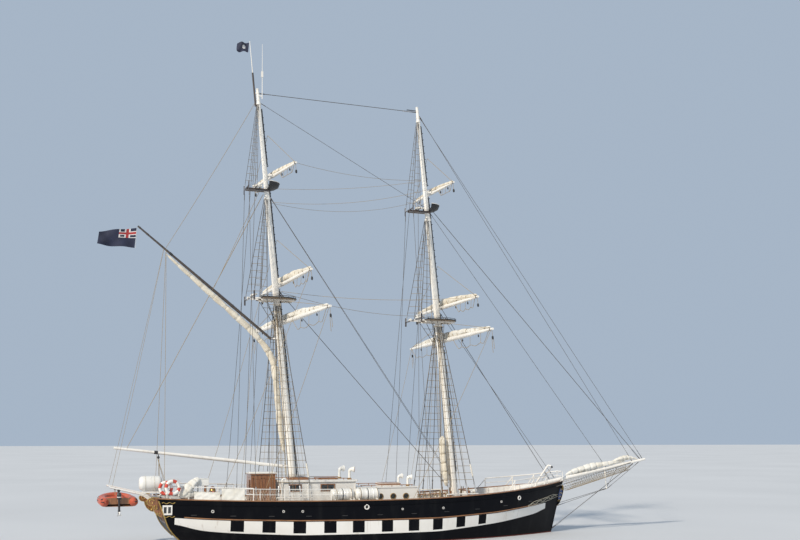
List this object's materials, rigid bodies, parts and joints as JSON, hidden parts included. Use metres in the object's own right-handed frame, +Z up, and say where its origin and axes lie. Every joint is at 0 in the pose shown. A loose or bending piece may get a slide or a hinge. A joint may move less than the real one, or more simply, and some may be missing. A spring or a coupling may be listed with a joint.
{
  "type": "two-masted square-rigged sailing ship",
  "caption": "Square-rigged brig afloat with furled sails on its yards, a black hull with a chequered white band, white deckhouses and a dinghy on stern davits.",
  "frame": {"origin": "on the waterline amidships, on the hull's centreline", "axes": "+X to the bow, +Y to port, +Z up"},
  "size_m": [31.9893, 12.5531, 29.0011],
  "materials": {
    "hull_paint": "glossy black enamel with a white band",
    "underwater_paint": "matt red-brown antifouling",
    "white_paint": "semi-gloss white paint",
    "mast_paint": "warm white gloss paint",
    "deck_teak": "scrubbed planking",
    "varnished_wood": "glossy varnish",
    "canvas": "woven off-white sailcloth",
    "wire_rope": "dark served wire",
    "bare_steel": "dull steel",
    "dark_steel": "black-painted iron",
    "bronze": "dull bronze",
    "white_gloss": "glossy white moulding",
    "orange_fabric": "coated fabric, orange-red",
    "red_plastic": "red and white ring",
    "dark_plastic": "dark moulded cowl"
  },
  "bodies": {
    "ship": {"hull": "hull_paint", "bulwark": "hull_paint", "deck": "deck_teak", "keel": "underwater_paint", "shaft_starboard": "bare_steel", "shaft_port": "bare_steel", "bowsprit": "white_paint", "bobstay": "wire_rope", "furled_headsails": "canvas", "bow_pulpit": "white_paint", "anchor_davit": "white_paint", "windlass": "dark_steel", "anchor": "dark_steel", "forward_trunk": "white_paint", "deckhouse_walls": "white_paint", "deckhouse_roof": "white_paint", "companionway": "varnished_wood", "steering_pedestal": "varnished_wood", "stern_lockers": "white_paint", "liferafts_starboard": "white_gloss", "liferafts_port": "white_gloss", "stern_canister": "white_gloss", "stern_guard_rail": "white_paint", "stern_davits": "white_paint", "dinghy": "orange_fabric", "outboard_motor": "dark_plastic", "lifebuoy": "red_plastic", "foremast": "mast_paint", "mainmast": "mast_paint", "fore_top": "mast_paint", "main_top": "mast_paint", "fore_shrouds": "wire_rope", "main_shrouds": "wire_rope", "fore_stay": "wire_rope", "jib_stay": "wire_rope", "main_stay": "wire_rope", "triatic_stay": "wire_rope", "boom_bracket": "mast_paint"},
    "rudder": {"rudder": "underwater_paint"},
    "steering_wheel": {"steering_wheel": "varnished_wood"},
    "propeller_starboard": {"propeller_starboard": "bronze"},
    "propeller_port": {"propeller_port": "bronze"},
    "outboard_propeller": {"outboard_propeller": "white_gloss"},
    "deckhouse_door": {"deckhouse_door": "varnished_wood"},
    "companionway_door": {"companionway_door": "varnished_wood"},
    "fore_course_yard": {"fore_course_yard": "mast_paint", "fore_course_furled": "canvas"},
    "fore_topsail_yard": {"fore_topsail_yard": "mast_paint", "fore_topsail_furled": "canvas"},
    "fore_topgallant_yard": {"fore_topgallant_yard": "mast_paint", "fore_topgallant_furled": "canvas"},
    "main_course_yard": {"main_course_yard": "mast_paint", "main_course_furled": "canvas"},
    "main_topsail_yard": {"main_topsail_yard": "mast_paint", "main_topsail_furled": "canvas"},
    "main_topgallant_yard": {"main_topgallant_yard": "mast_paint", "main_topgallant_furled": "canvas"},
    "spanker_boom": {"spanker_boom": "mast_paint"},
    "gaff": {"gaff": "mast_paint", "furled_spanker": "canvas"}
  },
  "joints": [
    {"name": "rudder_turn", "type": "hinge", "parent": "ship", "child": "rudder", "pos_m": [-9.62, 0, -1.3], "axis": [0, 0, 1], "range_deg": [-35, 35]},
    {"name": "wheel_turn", "type": "hinge", "parent": "ship", "child": "steering_wheel", "pos_m": [-9.25, 0, 2.55], "axis": [1, 0, 0], "range_deg": [-700, 700]},
    {"name": "propeller_starboard_spin", "type": "hinge", "parent": "ship", "child": "propeller_starboard", "pos_m": [-8.64, -0.78, -1.35], "axis": [1, 0, 0], "continuous": true},
    {"name": "propeller_port_spin", "type": "hinge", "parent": "ship", "child": "propeller_port", "pos_m": [-8.64, 0.78, -1.35], "axis": [1, 0, 0], "continuous": true},
    {"name": "outboard_propeller_spin", "type": "hinge", "parent": "ship", "child": "outboard_propeller", "pos_m": [-13.7, -1.7, 1.76], "axis": [0, 1, 0], "continuous": true},
    {"name": "deckhouse_door_swing", "type": "hinge", "parent": "ship", "child": "deckhouse_door", "pos_m": [-4.68, 1.312, 2.37], "axis": [0, 0, -1], "range_deg": [0, 100]},
    {"name": "companionway_door_swing", "type": "hinge", "parent": "ship", "child": "companionway_door", "pos_m": [-7.012, -0.33, 2.57], "axis": [0, 0, 1], "range_deg": [0, 100]},
    {"name": "fore_course_brace", "type": "hinge", "parent": "ship", "child": "fore_course_yard", "pos_m": [4.16919, 0, 11.03449], "axis": [-0.1045, 0, 0.9945], "range_deg": [-29, 31]},
    {"name": "fore_topsail_brace", "type": "hinge", "parent": "ship", "child": "fore_topsail_yard", "pos_m": [3.97475, 0, 12.88449], "axis": [-0.1045, 0, 0.9945], "range_deg": [-31, 29]},
    {"name": "fore_topgallant_brace", "type": "hinge", "parent": "ship", "child": "fore_topgallant_yard", "pos_m": [3.30208, 0, 19.28449], "axis": [-0.1045, 0, 0.9945], "range_deg": [-35, 25]},
    {"name": "main_course_brace", "type": "hinge", "parent": "ship", "child": "main_course_yard", "pos_m": [-5.07691, 0, 11.73048], "axis": [-0.0924, 0, 0.9957], "range_deg": [-35.5, 24.5]},
    {"name": "main_topsail_brace", "type": "hinge", "parent": "ship", "child": "main_topsail_yard", "pos_m": [-5.26245, 0, 13.73048], "axis": [-0.0924, 0, 0.9957], "range_deg": [-33, 27]},
    {"name": "main_topgallant_brace", "type": "hinge", "parent": "ship", "child": "main_topgallant_yard", "pos_m": [-5.79122, 0, 19.43048], "axis": [-0.0924, 0, 0.9957], "range_deg": [-41, 19]},
    {"name": "boom_swing", "type": "hinge", "parent": "ship", "child": "spanker_boom", "pos_m": [-5.02535, 0, 4.02952], "axis": [-0.0924, 0, 0.9957], "range_deg": [-25, 25]},
    {"name": "gaff_swing", "type": "hinge", "parent": "ship", "child": "gaff", "pos_m": [-5.65246, 0, 10.78952], "axis": [-0.0924, 0, 0.9957], "range_deg": [-25, 25]}
  ],
  "couplings": [
    {"joint": "rudder_turn", "follows": "wheel_turn", "ratio": 0.05}
  ]
}
